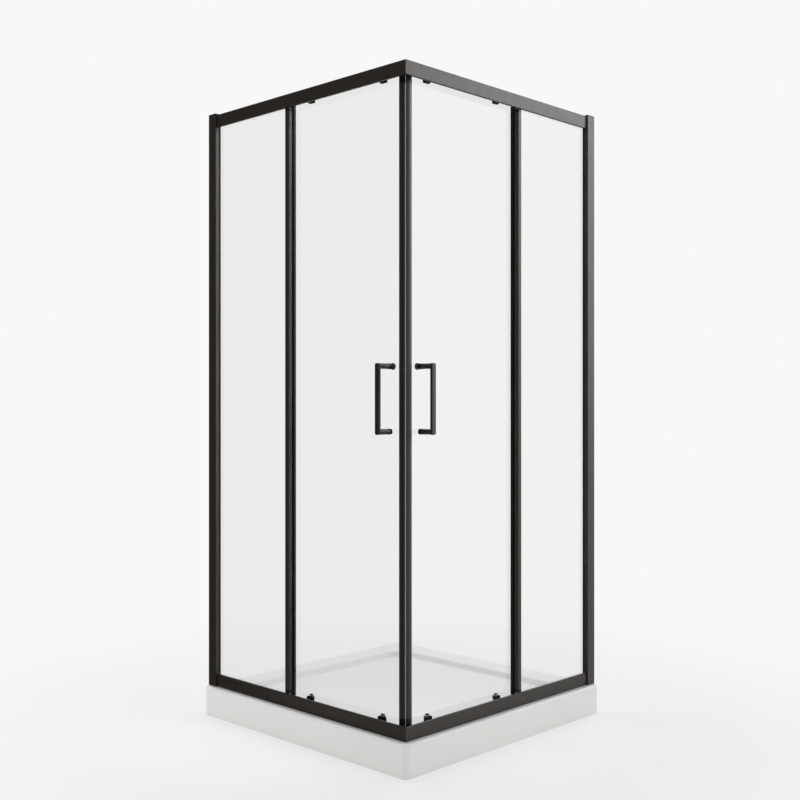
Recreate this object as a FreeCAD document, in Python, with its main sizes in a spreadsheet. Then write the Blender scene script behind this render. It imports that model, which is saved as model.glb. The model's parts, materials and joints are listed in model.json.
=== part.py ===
import FreeCAD, Part
import math
import os
from types import SimpleNamespace

import Sketcher

# Corner-entry shower enclosure on a square tray, with two fixed panes and two sliding doors
# The frame: X and Y along the two glazed sides, Z up, origin under the middle of the tray.
# The front side lies at -Y and the other glazed side at +X, and the walls stand at -X and +Y.

# Driving dimensions in millimetres, by the piece that carries them
SIZES = {
    # Tray
    "tray_side": 900.0,
    "tray_height": 92.8,
    "tray_corner_radius": 18.0,
    "tray_edge_radius": 9.0,
    "tray_rim": 95.0,
    "tray_step": 18.0,
    "tray_basin_radius": 56.0,
    "tray_basin_slope": 12.0,
    "tray_basin_fillet": 6.0,
    "tray_skirt": 8.0,
    "tray_floor": 8.0,
    "foot_radius": 26.0,
    "foot_stem_radius": 9.0,
    "foot_pad_height": 12.0,
    "foot_inset": 150.0,
    "waste_inset": 190.0,
    "waste_hole_radius": 45.0,
    "waste_cover_radius": 56.0,
    "waste_cover_height": 5.0,
    "waste_cover_bevel": 6.0,
    "waste_body_depth": 24.0,
    # Frame
    "frame_overhang": 20.0,
    "wall_setback": 3.5,
    "frame_height": 1830.6,
    "rail_height": 39.5,
    "rail_depth": 46.0,
    "rail_wall": 1.6,
    "rail_edge_radius": 1.2,
    "rail_box_depth": 7.4,
    "top_web_drop": 28.0,
    "top_track_height": 15.6,
    "track_rib_width": 2.0,
    "track_rib_height": 1.6,
    "lip_height": 24.0,
    "lip_rib_height": 2.0,
    "corner_leg_length": 62.0,
    "corner_bracket_gap": 0.3,
    "corner_screw_place": 30.0,
    "corner_screw_pitch": 22.0,
    # Wall profile and jamb
    "wall_profile_width": 37.0,
    "wall_profile_depth": 23.5,
    "wall_profile_proud": 5.0,
    "wall_profile_wall": 1.6,
    "wall_cap_height": 4.0,
    "wall_hole_radius": 2.5,
    "wall_hole_end": 200.0,
    "wall_hole_inner_end": 680.0,
    "jamb_back": 8.0,
    "jamb_gap": 0.3,
    "jamb_wall": 1.2,
    "jamb_groove": 15.0,
    "jamb_screw_end": 150.0,
    "jamb_screw_inset": 14.0,
    # Fixed pane
    "glass_thickness": 6.0,
    "glass_fit": 0.3,
    "gasket_wall": 1.5,
    "gasket_lap": 18.0,
    "fixed_glass_bottom": 8.0,
    "fixed_stile_width": 18.0,
    "fixed_stile_setback": 4.0,
    "fixed_stile_wall": 2.4,
    "fixed_stile_radius": 4.0,
    "fixed_stile_lap": 10.0,
    "fixed_cap_height": 10.0,
    "brush_width": 9.0,
    # Sliding door
    "running_gap": 3.8,
    "door_stile_hide": 8.6,
    "door_glass_drop": 2.5,
    "door_glass_rise": 26.6,
    "column_radius": 17.4,
    "column_depth": 32.75,
    "column_lap": 7.0,
    "column_wall": 1.8,
    "column_cap_height": 24.0,
    "magnet_thickness": 3.2,
    "magnet_gap": 0.6,
    "magnet_width": 13.0,
    "magnet_setback": 0.6,
    "trailing_stile_width": 20.0,
    "trailing_stile_lead": 3.0,
    "trailing_stile_radius": 3.0,
    "trailing_stile_lap": 9.0,
    "drip_seal_wall": 1.2,
    "drip_seal_gap": 0.3,
    "drip_seal_lap": 3.2,
    "buffer_place": 115.8,
    "buffer_length": 20.0,
    "buffer_height": 14.0,
    "end_plate": 2.0,
    "end_plug": 12.0,
    "end_plug_gap": 0.3,
    # Handle
    "handle_place": 87.0,
    "handle_middle": 920.0,
    "handle_pitch": 179.6,
    "handle_reach": 45.0,
    "handle_width": 16.0,
    "handle_depth": 8.4,
    "handle_end_radius": 5.0,
    "handle_edge": 1.6,
    "handle_leg_radius": 7.6,
    "handle_hole_radius": 6.0,
    "handle_stud_radius": 3.0,
    "handle_stud_depth": 14.0,
    "washer_radius": 8.0,
    "washer_thickness": 1.0,
    "foot_thickness": 5.5,
    "knob_length": 12.0,
    "knob_neck_radius": 6.5,
    "knob_radius": 10.0,
    "knob_rim": 2.5,
    "cap_length": 2.0,
    "cap_radius": 6.0,
    "cap_edge": 1.2,
    # Rollers
    "roller_place": 111.0,
    "roller_end": 76.0,
    "clamp_thickness": 3.7,
    "clamp_corner_radius": 3.0,
    "clamp_edge": 0.8,
    "top_clamp_width": 23.0,
    "top_clamp_drop": 2.0,
    "top_clamp_height": 17.0,
    "bottom_clamp_width": 26.0,
    "bottom_clamp_height": 13.5,
    "bolt_radius": 2.0,
    "bolt_head_radius": 3.2,
    "bolt_head_height": 2.2,
    "bolt_gap": 0.15,
    "bolt_hole_radius": 3.2,
    "bracket_thickness": 2.2,
    "bracket_crown": 6.5,
    "wheel_side_gap": 0.5,
    "rolling_gap": 0.3,
    "top_wheel_radius": 9.2,
    "top_wheel_width": 7.0,
    "wheel_groove_depth": 1.5,
    "wheel_groove_width": 3.0,
    "wheel_bore_gap": 0.3,
    "wheel_edge": 0.5,
    "axle_radius": 2.5,
    "axle_head_radius": 4.0,
    "axle_head_length": 1.2,
    "bottom_wheel_radius": 7.5,
    "bottom_wheel_width": 6.0,
    "release_offset": 16.0,
    "block_width": 18.0,
    "block_height": 8.0,
    "block_plate": 3.5,
    "block_tongue": 5.0,
    "block_back_wall": 2.0,
    "block_bolt_height": 4.2,
    "arm_thickness": 3.0,
    "arm_width": 12.0,
    "arm_corner_radius": 5.0,
    "arm_gap": 0.3,
    "arm_notch": 2.0,
    "stem_radius": 2.0,
    "spring_bore_radius": 3.8,
    "spring_bore_depth": 4.5,
    "spring_gap": 0.5,
    "spring_wire": 0.9,
    "button_width": 12.0,
    "button_depth": 7.6,
    "button_height": 2.2,
    "release_travel": 3.0,
    # Screws
    "screw_radius": 1.9,
    "screw_hole_radius": 2.1,
    "screw_head_radius": 4.0,
    "screw_head_height": 2.2,
    "screw_length": 5.2,
    # Length by which a cut runs past the face that it opens
    "overrun": 5.0,
}


# The share of a glazed side that its door covers, from the entry corner to the fixed stile
DOOR_SHARE = 0.5588


class Size:
    """A length in millimetres, with the expression on the sheet that gives it."""

    def __init__(self, value, text):
        self.value = value
        self.text = text

    def __add__(self, other):
        other = as_size(other)
        return Size(self.value + other.value, f"({self.text} + {other.text})")

    def __sub__(self, other):
        other = as_size(other)
        return Size(self.value - other.value, f"({self.text} - {other.text})")

    def __mul__(self, factor):
        factor = as_size(factor)
        return Size(self.value * factor.value, f"({self.text} * {factor.text})")

    def __truediv__(self, factor):
        factor = as_size(factor)
        return Size(self.value / factor.value, f"({self.text} / {factor.text})")

    def __neg__(self):
        return Size(-self.value, f"(0 - {self.text})")

    def root(self):
        return Size(math.sqrt(self.value), f"sqrt({self.text})")


def as_size(value):
    return value if isinstance(value, Size) else Size(float(value), str(value))


def write_sheet(doc):
    """The sheet of driving dimensions, and the same dimensions as Size values."""
    sheet = doc.addObject("Spreadsheet::Sheet", "Sizes")
    sizes = {}
    for row, (name, value) in enumerate(SIZES.items(), start=1):
        sheet.set(f"A{row}", name)
        sheet.set(f"B{row}", str(value))
        sheet.setAlias(f"B{row}", name)
        sizes[name] = Size(value, f"Sizes.{name}")
    doc.recompute()
    return SimpleNamespace(**sizes)


doc = FreeCAD.newDocument("shower_enclosure")
d = write_sheet(doc)
ZERO = as_size(0)
DIAGONAL = as_size(2).root()

# Sizes that follow from the driving dimensions

# A side's own frame: x from the wall along the rails, y in from their outer face, z up from their underside
half_tray = d.tray_side / 2
side_x = d.wall_setback - half_tray
side_y = d.frame_overhang - half_tray
side_z = d.tray_height
frame_side = d.tray_side - d.frame_overhang - d.wall_setback

# Across the rails
fixed_glass_y = d.rail_box_depth + d.gasket_wall
web_outer_y = fixed_glass_y + d.glass_thickness + d.gasket_wall
web_inner_y = web_outer_y + d.rail_wall
clamp_y = web_inner_y + d.running_gap
door_glass_y = clamp_y + d.clamp_thickness
door_back_y = door_glass_y + d.glass_thickness
roller_y = door_back_y + d.bracket_thickness + d.wheel_side_gap + d.top_wheel_width / 2
rib_outer_y = roller_y - d.track_rib_width / 2
rib_inner_y = roller_y + d.track_rib_width / 2
door_stile_outer_y = door_glass_y - d.glass_fit - d.column_wall
door_stile_inner_y = door_back_y + d.glass_fit + d.column_wall

# Up the frame
top_rail_z = d.frame_height - d.rail_height
lip_under_z = d.lip_height - d.rail_wall
lip_rib_z = lip_under_z - d.lip_rib_height
track_top_z = top_rail_z + d.top_track_height + d.rail_wall
track_rib_z = track_top_z + d.track_rib_height
door_stile_bottom_z = d.rail_height - d.door_stile_hide
door_stile_top_z = top_rail_z + d.door_stile_hide
door_glass_bottom_z = d.lip_height + d.door_glass_drop
door_glass_top_z = top_rail_z + d.door_glass_rise
clamp_bottom_z = door_glass_bottom_z + d.drip_seal_lap + d.drip_seal_gap
block_top_z = clamp_bottom_z + d.block_height
low_bolt_z = clamp_bottom_z + d.block_bolt_height
top_clamp_z = top_rail_z + d.top_clamp_drop
top_bolt_z = top_clamp_z + d.top_clamp_height / 2
top_axle_z = track_rib_z + d.rolling_gap + d.top_wheel_radius - d.wheel_groove_depth
bottom_axle_z = lip_rib_z - d.rolling_gap - d.bottom_wheel_radius + d.wheel_groove_depth

# Along the rails
jamb_x = d.wall_profile_width
wall_profile_back_y = d.wall_profile_depth - d.wall_profile_proud
fixed_stile_x = frame_side - frame_side * DOOR_SHARE
fixed_stile_wall_x = fixed_stile_x - d.fixed_stile_width
column_x = frame_side - d.column_depth
column_glass_x = column_x - d.column_radius / DIAGONAL
trailing_x = fixed_stile_x + d.trailing_stile_lead
trailing_back_x = trailing_x - d.trailing_stile_width
handle_x = frame_side - d.handle_place
roller_xs = (frame_side - d.roller_place, trailing_x + d.roller_end)

# Release carrier
arm_y = roller_y + d.bottom_wheel_width / 2 + d.wheel_side_gap
stem_y = arm_y + d.arm_thickness / 2
arm_top_z = clamp_bottom_z + d.arm_notch - d.arm_gap
button_z = block_top_z + d.release_travel + d.arm_gap


# Building steps that every piece shares


def new_body(label, x=ZERO, y=ZERO, z=ZERO):
    """An empty body whose frame stands at this point of the enclosure."""
    body = doc.addObject("PartDesign::Body", label)
    body.Label = label
    for axis, place in zip("xyz", (x, y, z)):
        body.setExpression(f"Placement.Base.{axis}", place.text)
    return body


def side_body(label, x=ZERO, y=ZERO, z=ZERO):
    """An empty body whose frame stands at this point of the front side's own frame."""
    return new_body(label, side_x + x, side_y + y, side_z + z)


def new_sketch(body, role, lift=ZERO):
    """A sketch on one of the body's own planes, lifted along that plane's normal."""
    sketch = body.newObject("Sketcher::SketchObject", f"{body.Name}_sketch")
    plane = next(p for p in body.Origin.OriginFeatures if p.Role == role)
    sketch.AttachmentSupport = (plane, [""])
    sketch.MapMode = "FlatFace"
    sketch.setExpression("AttachmentOffset.Base.z", lift.text)
    return sketch


def fix(sketch, kind, *target, size):
    index = sketch.addConstraint(Sketcher.Constraint(kind, *target, size.value))
    sketch.setExpression(f"Constraints[{index}]", size.text)


def add_loop(sketch, points, arcs=None):
    """A closed loop through the points. arcs gives the radius and turn of the stretch after a point."""
    arcs = arcs or {}
    ends = []
    for i, (x, y) in enumerate(points):
        next_x, next_y = points[(i + 1) % len(points)]
        start = FreeCAD.Vector(x.value, y.value, 0)
        finish = FreeCAD.Vector(next_x.value, next_y.value, 0)
        if i not in arcs:
            geometry = sketch.addGeometry(Part.LineSegment(start, finish))
            ends.append((geometry, 1, 2))
            continue
        radius, turn = arcs[i]
        chord = finish - start
        rise = math.sqrt(max(radius.value**2 - (chord.Length / 2) ** 2, 0))
        normal = FreeCAD.Vector(-chord.y, chord.x, 0).normalize()
        centre = start + chord * 0.5 + normal * rise * turn
        circle = Part.Circle(centre, FreeCAD.Vector(0, 0, 1), radius.value)
        first, last = (start, finish) if turn > 0 else (finish, start)
        arc = Part.ArcOfCircle(circle, circle.parameter(first), circle.parameter(last))
        geometry = sketch.addGeometry(arc)
        ends.append((geometry, 1, 2) if turn > 0 else (geometry, 2, 1))
        fix(sketch, "Radius", geometry, size=radius)
    for i, (x, y) in enumerate(points):
        geometry, start, finish = ends[i]
        following, following_start, _ = ends[(i + 1) % len(ends)]
        sketch.addConstraint(Sketcher.Constraint("Coincident", geometry, finish, following, following_start))
        fix(sketch, "DistanceX", -1, 1, geometry, start, size=x)
        fix(sketch, "DistanceY", -1, 1, geometry, start, size=y)


def add_outline(sketch, corners):
    """A closed outline of level and upright lines. A third entry of a corner is its rounding radius."""
    points, arcs = [], {}
    for i, (x, y, *rounding) in enumerate(corners):
        if not rounding:
            points.append((x, y))
            continue
        (radius,) = rounding
        before, after = corners[i - 1], corners[(i + 1) % len(corners)]
        entry, exit_ = step_back(x, y, before, radius), step_back(x, y, after, radius)
        into = (x.value - before[0].value, y.value - before[1].value)
        out = (after[0].value - x.value, after[1].value - y.value)
        turn = 1 if into[0] * out[1] - into[1] * out[0] > 0 else -1
        arcs[len(points)] = (radius, turn)
        points += [entry, exit_]
    add_loop(sketch, points, arcs)


def step_back(x, y, neighbour, radius):
    """The point one radius from a corner towards the neighbour on its level or upright line."""
    across = neighbour[0].value - x.value
    along = neighbour[1].value - y.value
    if abs(across) > abs(along):
        return (x + radius if across > 0 else x - radius, y)
    return (x, y + radius if along > 0 else y - radius)


def add_box(sketch, x0, y0, x1, y1, radius=None):
    corners = [(x0, y0), (x1, y0), (x1, y1), (x0, y1)]
    add_outline(sketch, [corner + (radius,) for corner in corners] if radius else corners)


def add_circle(sketch, x, y, radius):
    centre = FreeCAD.Vector(x.value, y.value, 0)
    geometry = sketch.addGeometry(Part.Circle(centre, FreeCAD.Vector(0, 0, 1), radius.value))
    fix(sketch, "DistanceX", -1, 1, geometry, 3, size=x)
    fix(sketch, "DistanceY", -1, 1, geometry, 3, size=y)
    fix(sketch, "Radius", geometry, size=radius)


def pad(body, sketch, length, back=False):
    """Pad the sketch along its plane's normal, or back against it."""
    feature = body.newObject("PartDesign::Pad", f"{body.Name}_pad")
    feature.Profile = sketch
    feature.setExpression("Length", length.text)
    feature.Reversed = back
    return feature


def cut(body, sketch, length, back=False):
    """Cut the sketch along its plane's normal, or back against it, and make sure that it took something."""
    doc.recompute()
    volume = body.Shape.Volume
    feature = body.newObject("PartDesign::Pocket", f"{body.Name}_cut")
    feature.Profile = sketch
    feature.setExpression("Length", length.text)
    feature.Reversed = not back
    doc.recompute()
    if body.Shape.Volume >= volume:
        raise RuntimeError(f"a cut in {body.Label} takes nothing")
    return feature


def turn_profile(body, sketch):
    """Turn the sketch about its own upright axis."""
    feature = body.newObject("PartDesign::Revolution", f"{body.Name}_turn")
    feature.Profile = sketch
    feature.ReferenceAxis = (sketch, ["V_Axis"])
    feature.Angle = 360
    return feature


def turned(label, x, y, z, points, arcs=None):
    """A turned piece on the front side: points are radius and depth, about an axis that runs inwards."""
    body = side_body(label, x, y, z)
    sketch = new_sketch(body, "XY_Plane")
    add_loop(sketch, points, arcs)
    turn_profile(body, sketch)
    return body


def round_edges(body, kind, radius, chosen):
    """Fillet or chamfer the edges of the body that chosen picks."""
    doc.recompute()
    base = body.Tip
    names = [f"Edge{i}" for i, edge in enumerate(base.Shape.Edges, start=1) if chosen(edge)]
    if not names:
        raise RuntimeError(f"no edge of {body.Label} was picked")
    feature = body.newObject(f"PartDesign::{kind}", f"{body.Name}_{kind.lower()}")
    feature.Base = (base, names)
    feature.setExpression("Radius" if kind == "Fillet" else "Size", radius.text)
    doc.recompute()
    return feature


nodes = {}


def keep(label, thing):
    thing.Label = label
    nodes[label] = thing
    return thing


def mirror(name, source):
    """The same piece on the other glazed side."""
    other = doc.addObject("Part::Mirroring", name)
    other.Source = source
    other.Base = (0, 0, 0)
    other.Normal = (1, 1, 0)
    return other


def keep_pair(piece, source):
    """Keep a front piece and its mirror image as two nodes."""
    keep(f"front_{piece}", source)
    keep(f"side_{piece}", mirror(f"side_{piece}", source))


def group(label, pieces):
    compound = doc.addObject("Part::Compound", label)
    compound.Links = pieces
    return compound


def keep_group_pair(piece, pieces):
    """Keep several front pieces as one node, and their mirror images as another."""
    keep_pair(piece, group(f"front_{piece}", pieces))


def keep_both_sides(label, pieces):
    """Keep front pieces and their mirror images together in one node."""
    both = pieces + [mirror(f"{piece.Name}_mirrored", piece) for piece in pieces]
    keep(label, group(label, both))


# Tray


def make_tray():
    body = new_body("tray")
    base = new_sketch(body, "XY_Plane")
    add_box(base, -half_tray, -half_tray, half_tray, half_tray, d.tray_corner_radius)
    pad(body, base, d.tray_height)
    round_edges(
        body, "Fillet", d.tray_edge_radius,
        lambda edge: abs(edge.BoundBox.ZMin - d.tray_height.value) < d.overrun.value,
    )
    hollow = new_sketch(body, "XY_Plane")
    inner = half_tray - d.tray_skirt
    add_box(hollow, -inner, -inner, inner, inner, d.tray_corner_radius - d.tray_skirt)
    cut(body, hollow, d.tray_height - d.tray_step - d.tray_floor)
    waste = new_sketch(body, "XY_Plane")
    add_circle(waste, half_tray - d.waste_inset, d.waste_inset - half_tray, d.waste_hole_radius)
    cut(body, waste, d.tray_height)
    basin = new_sketch(body, "XY_Plane", d.tray_height)
    edge_place = half_tray - d.tray_rim
    add_box(basin, -edge_place, -edge_place, edge_place, edge_place, d.tray_basin_radius)
    step = cut(body, basin, d.tray_step, back=True)
    slope = math.degrees(math.atan2(d.tray_basin_slope.value, d.tray_step.value))
    step.TaperAngle = -slope
    floor_z = d.tray_height - d.tray_step
    for z in (d.tray_height, floor_z):
        round_edges(body, "Fillet", d.tray_basin_fillet, lambda edge: on_basin_edge(edge, z, edge_place))
    return keep("tray", body)


def on_basin_edge(edge, z, reach):
    """Whether a level edge of the tray runs round the basin at this height."""
    box = edge.BoundBox
    level = abs(box.ZMin - z.value) + abs(box.ZMax - z.value) < d.glass_fit.value
    farthest = max(abs(box.XMin), abs(box.XMax), abs(box.YMin), abs(box.YMax))
    within = farthest < reach.value + d.glass_fit.value
    radius = edge.Curve.Radius if isinstance(edge.Curve, Part.Circle) else ZERO.value
    waste = abs(radius - d.waste_hole_radius.value) < d.glass_fit.value
    return level and within and not waste


def make_feet():
    pieces = []
    top = d.tray_height - d.tray_step - d.tray_floor
    inset = half_tray - d.foot_inset
    places = [(ZERO, ZERO), (inset, inset), (-inset, inset), (-inset, -inset)]
    for i, (x, y) in enumerate(places, start=1):
        foot = new_body(f"foot_{i}", x, y)
        sketch = new_sketch(foot, "XZ_Plane")
        add_loop(sketch, [
            (ZERO, ZERO),
            (d.foot_radius, ZERO),
            (d.foot_radius, d.foot_pad_height),
            (d.foot_stem_radius, d.foot_pad_height),
            (d.foot_stem_radius, top),
            (ZERO, top),
        ])
        turn_profile(foot, sketch)
        pieces.append(foot)
    keep("tray_feet", group("tray_feet", pieces))


def make_waste():
    floor = d.tray_height - d.tray_step
    body = new_body("waste_cover", half_tray - d.waste_inset, d.waste_inset - half_tray, floor)
    sketch = new_sketch(body, "XZ_Plane")
    body_radius = d.waste_hole_radius - d.glass_fit
    wall = d.waste_cover_height / 2
    add_loop(sketch, [
        (ZERO, wall),
        (body_radius - wall, wall),
        (body_radius - wall, -d.waste_body_depth),
        (body_radius, -d.waste_body_depth),
        (body_radius, ZERO),
        (d.waste_cover_radius, ZERO),
        (d.waste_cover_radius, wall),
        (d.waste_cover_radius - d.waste_cover_bevel, d.waste_cover_height),
        (ZERO, d.waste_cover_height),
    ])
    turn_profile(body, sketch)
    keep("waste_cover", body)


# Rails, their corner brackets and screws


def rail_sketch(body, corners):
    sketch = new_sketch(body, "YZ_Plane")
    add_outline(sketch, corners)
    wall, box, height = d.rail_wall, d.rail_box_depth, d.rail_height
    add_box(sketch, wall, wall, box - wall, height - wall)
    return sketch


def finish_rail(body):
    """Mitre the rail at the corner and drill it for the corner screws."""
    length = frame_side - d.wall_profile_width
    ends = new_sketch(body, "XY_Plane", -d.overrun)
    add_loop(ends, [
        (length, ZERO),
        (length + d.overrun, ZERO),
        (length + d.overrun, d.rail_depth + d.overrun),
        (length - d.rail_depth - d.overrun, d.rail_depth + d.overrun),
    ])
    cut(body, ends, d.rail_height + d.overrun * 2)
    holes = new_sketch(body, "XZ_Plane", -d.rail_box_depth)
    for place in corner_screw_places():
        add_circle(holes, length - place, d.rail_height / 2, d.screw_hole_radius)
    cut(body, holes, d.rail_wall * 2)


def corner_screw_places():
    return (d.corner_screw_place, d.corner_screw_place + d.corner_screw_pitch)


def make_top_rail():
    body = side_body("front_top_rail", d.wall_profile_width, ZERO, top_rail_z)
    wall, box, depth, height = d.rail_wall, d.rail_box_depth, d.rail_depth, d.rail_height
    track = d.top_track_height
    edge = d.rail_edge_radius
    sketch = rail_sketch(body, [
        (ZERO, ZERO, edge),
        (box, ZERO),
        (box, height - wall),
        (web_outer_y, height - wall),
        (web_outer_y, height - d.top_web_drop),
        (web_inner_y, height - d.top_web_drop),
        (web_inner_y, height - wall),
        (depth - wall, height - wall),
        (depth - wall, track + wall),
        (rib_inner_y, track + wall),
        (rib_inner_y, track + wall + d.track_rib_height),
        (rib_outer_y, track + wall + d.track_rib_height),
        (rib_outer_y, track),
        (depth, track),
        (depth, height),
        (ZERO, height, edge),
    ])
    pad(body, sketch, frame_side - d.wall_profile_width)
    finish_rail(body)
    keep_pair("top_rail", body)


def make_bottom_rail():
    body = side_body("front_bottom_rail", d.wall_profile_width)
    wall, box, depth, height = d.rail_wall, d.rail_box_depth, d.rail_depth, d.rail_height
    edge = d.rail_edge_radius
    sketch = rail_sketch(body, [
        (ZERO, ZERO, edge),
        (depth, ZERO),
        (depth, wall),
        (web_inner_y, wall),
        (web_inner_y, lip_under_z),
        (rib_outer_y, lip_under_z),
        (rib_outer_y, lip_rib_z),
        (rib_inner_y, lip_rib_z),
        (rib_inner_y, d.lip_height),
        (web_outer_y, d.lip_height),
        (web_outer_y, wall),
        (box, wall),
        (box, height, edge),
        (ZERO, height, edge),
    ])
    pad(body, sketch, frame_side - d.wall_profile_width)
    finish_rail(body)
    keep_pair("bottom_rail", body)


def make_corner_bracket(label, z):
    """An angle that sits inside the hollow fronts of two rails, made of one leg and its mirror image."""
    gap = d.corner_bracket_gap
    outer = d.rail_wall + gap
    inner = d.rail_box_depth - d.rail_wall - gap
    leg = side_body(f"{label}_leg", ZERO, ZERO, z + d.rail_wall + gap)
    plan = new_sketch(leg, "XY_Plane")
    add_loop(plan, [
        (frame_side - d.corner_leg_length, outer),
        (frame_side - outer, outer),
        (frame_side - inner, inner),
        (frame_side - d.corner_leg_length, inner),
    ])
    height = d.rail_height - d.rail_wall * 2 - gap * 2
    pad(leg, plan, height)
    holes = new_sketch(leg, "XZ_Plane", -inner)
    for place in corner_screw_places():
        add_circle(holes, frame_side - place, height / 2, d.screw_hole_radius)
    cut(leg, holes, inner - outer + d.overrun)
    angle = doc.addObject("Part::Fuse", label)
    angle.Base = leg
    angle.Tool = mirror(f"{label}_other_leg", leg)
    angle.Refine = True
    return angle


def make_screw(label, x, y, z, outwards):
    """A pan-head screw along y. Its head stands on the face at y; its shank points outwards or inwards."""
    way = -1 if outwards else 1
    crown = d.screw_head_height / 2
    return turned(label, x, y, z, [
        (ZERO, -d.screw_head_height * way),
        (d.screw_head_radius - crown, -d.screw_head_height * way),
        (d.screw_head_radius, -crown * way),
        (d.screw_head_radius, ZERO),
        (d.screw_radius, ZERO),
        (d.screw_radius, d.screw_length * way),
        (ZERO, d.screw_length * way),
    ])


def make_frame_screws():
    screws = []
    for i, z in enumerate((ZERO, top_rail_z)):
        for j, place in enumerate(corner_screw_places()):
            label = f"corner_screw_{i}{j}"
            middle = z + d.rail_height / 2
            screws.append(make_screw(label, frame_side - place, d.rail_box_depth, middle, True))
    for i, z in enumerate(jamb_screw_heights()):
        screws.append(make_screw(f"jamb_screw_{i}", d.jamb_screw_inset, wall_profile_back_y, z, True))
    keep_both_sides("frame_screws", screws)


def jamb_screw_heights():
    end = d.jamb_screw_end
    return (end, d.frame_height / 2, d.frame_height - end)


# Wall profiles and jambs


def make_wall_profile():
    """The channel on the wall that the jamb slides in, with a cap on its top."""
    body = side_body("front_wall_profile", ZERO, -d.wall_profile_proud)
    wall, width, back = d.wall_profile_wall, d.wall_profile_width, d.wall_profile_depth
    radius = d.rail_edge_radius
    sketch = new_sketch(body, "XY_Plane")
    add_outline(sketch, [
        (ZERO, ZERO, radius),
        (width, ZERO, radius),
        (width, wall),
        (wall, wall),
        (wall, back - wall),
        (width, back - wall),
        (width, back),
        (ZERO, back, radius),
    ])
    pad(body, sketch, d.frame_height)
    fixings = new_sketch(body, "YZ_Plane")
    for end in (d.wall_hole_end, d.wall_hole_inner_end):
        for z in (end, d.frame_height - end):
            add_circle(fixings, back / 2, z, d.wall_hole_radius)
    cut(body, fixings, wall * 2)
    screws = new_sketch(body, "XZ_Plane", -back)
    for z in jamb_screw_heights():
        add_circle(screws, d.jamb_screw_inset, z, d.screw_hole_radius)
    cut(body, screws, wall * 2)
    keep_pair("wall_profile", body)


def make_jamb():
    """The profile that slides in the wall profile and holds the fixed pane's edge and the rails' ends."""
    body = side_body("front_jamb")
    wall = d.jamb_wall
    outer = d.wall_profile_wall + d.jamb_gap - d.wall_profile_proud
    inner = wall_profile_back_y - d.wall_profile_wall - d.jamb_gap
    groove_outer = fixed_glass_y - d.glass_fit
    groove_inner = fixed_glass_y + d.glass_thickness + d.glass_fit
    sketch = new_sketch(body, "XY_Plane")
    add_outline(sketch, [
        (d.jamb_back, outer),
        (jamb_x, outer),
        (jamb_x, groove_outer),
        (jamb_x - d.jamb_groove, groove_outer),
        (jamb_x - d.jamb_groove, groove_inner),
        (jamb_x, groove_inner),
        (jamb_x, inner),
        (d.jamb_back, inner),
    ])
    add_box(sketch, d.jamb_back + wall, outer + wall, jamb_x - wall, groove_outer - wall)
    pad(body, sketch, d.frame_height)
    screws = new_sketch(body, "XZ_Plane", -inner)
    for z in jamb_screw_heights():
        add_circle(screws, d.jamb_screw_inset, z, d.screw_hole_radius)
    cut(body, screws, d.screw_length)
    keep_pair("jamb", body)


def make_profile_caps():
    """Caps on the wall profiles, and plugs that close the rails' ends behind them."""
    cap = side_body("front_wall_cap", ZERO, -d.wall_profile_proud, d.frame_height)
    sketch = new_sketch(cap, "XY_Plane")
    add_box(sketch, ZERO, ZERO, d.wall_profile_width, d.wall_profile_depth, d.rail_edge_radius)
    pad(cap, sketch, d.wall_cap_height)
    gap = d.end_plug_gap
    start = wall_profile_back_y + gap
    track_z = track_rib_z - top_rail_z
    inside = d.rail_wall + gap
    low_tongue = (start, inside, rib_outer_y - gap, lip_rib_z - gap)
    top_tongue = (rib_inner_y + gap, track_z + gap, d.rail_depth - inside, d.rail_height - inside)
    plugs = [
        make_end_plug("bottom_end_plug", ZERO, (ZERO, d.lip_height), low_tongue),
        make_end_plug("top_end_plug", top_rail_z, (d.top_track_height, d.rail_height), top_tongue),
    ]
    keep_both_sides("profile_caps", [cap] + plugs)


def make_end_plug(label, z, heights, tongue):
    """A plate over the end of a rail, behind the wall profile, with a tongue in the rail's hollow."""
    body = side_body(label, d.wall_profile_width, ZERO, z)
    plate = new_sketch(body, "YZ_Plane")
    low, high = heights
    add_box(plate, wall_profile_back_y + d.end_plug_gap, low, d.rail_depth, high)
    pad(body, plate, d.end_plate, back=True)
    plug = new_sketch(body, "YZ_Plane")
    add_box(plug, *tongue)
    pad(body, plug, d.end_plug)
    return body


# Fixed panes


def make_fixed_glass():
    start = jamb_x - d.jamb_groove + d.glass_fit
    finish = fixed_stile_wall_x + d.fixed_stile_lap - d.glass_fit
    body = side_body("front_fixed_glass", ZERO, fixed_glass_y)
    sketch = new_sketch(body, "XZ_Plane")
    top = d.frame_height - d.fixed_glass_bottom
    add_box(sketch, start, d.fixed_glass_bottom, finish, top)
    pad(body, sketch, d.glass_thickness, back=True)
    keep_pair("fixed_glass", body)


def make_gaskets():
    """U-shaped strips that hold the fixed pane in the channels of its two rails."""
    length = fixed_stile_wall_x - jamb_x
    seat = d.fixed_glass_bottom
    low = d.rail_wall
    reach = seat + d.gasket_lap
    pane = d.glass_thickness + d.gasket_wall
    width = pane + d.gasket_wall
    strips = []
    for label, z, up in (("low_gasket", ZERO, True), ("high_gasket", d.frame_height, False)):
        body = side_body(label, jamb_x, d.rail_box_depth, z)
        sketch = new_sketch(body, "YZ_Plane")
        heights = (low, reach, seat)
        base, tip, pocket = heights if up else [-height for height in heights]
        add_outline(sketch, [
            (ZERO, base),
            (width, base),
            (width, tip),
            (pane, tip),
            (pane, pocket),
            (d.gasket_wall, pocket),
            (d.gasket_wall, tip),
            (ZERO, tip),
        ])
        pad(body, sketch, length)
        strips.append(body)
    keep_both_sides("glazing_gaskets", strips)


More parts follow.
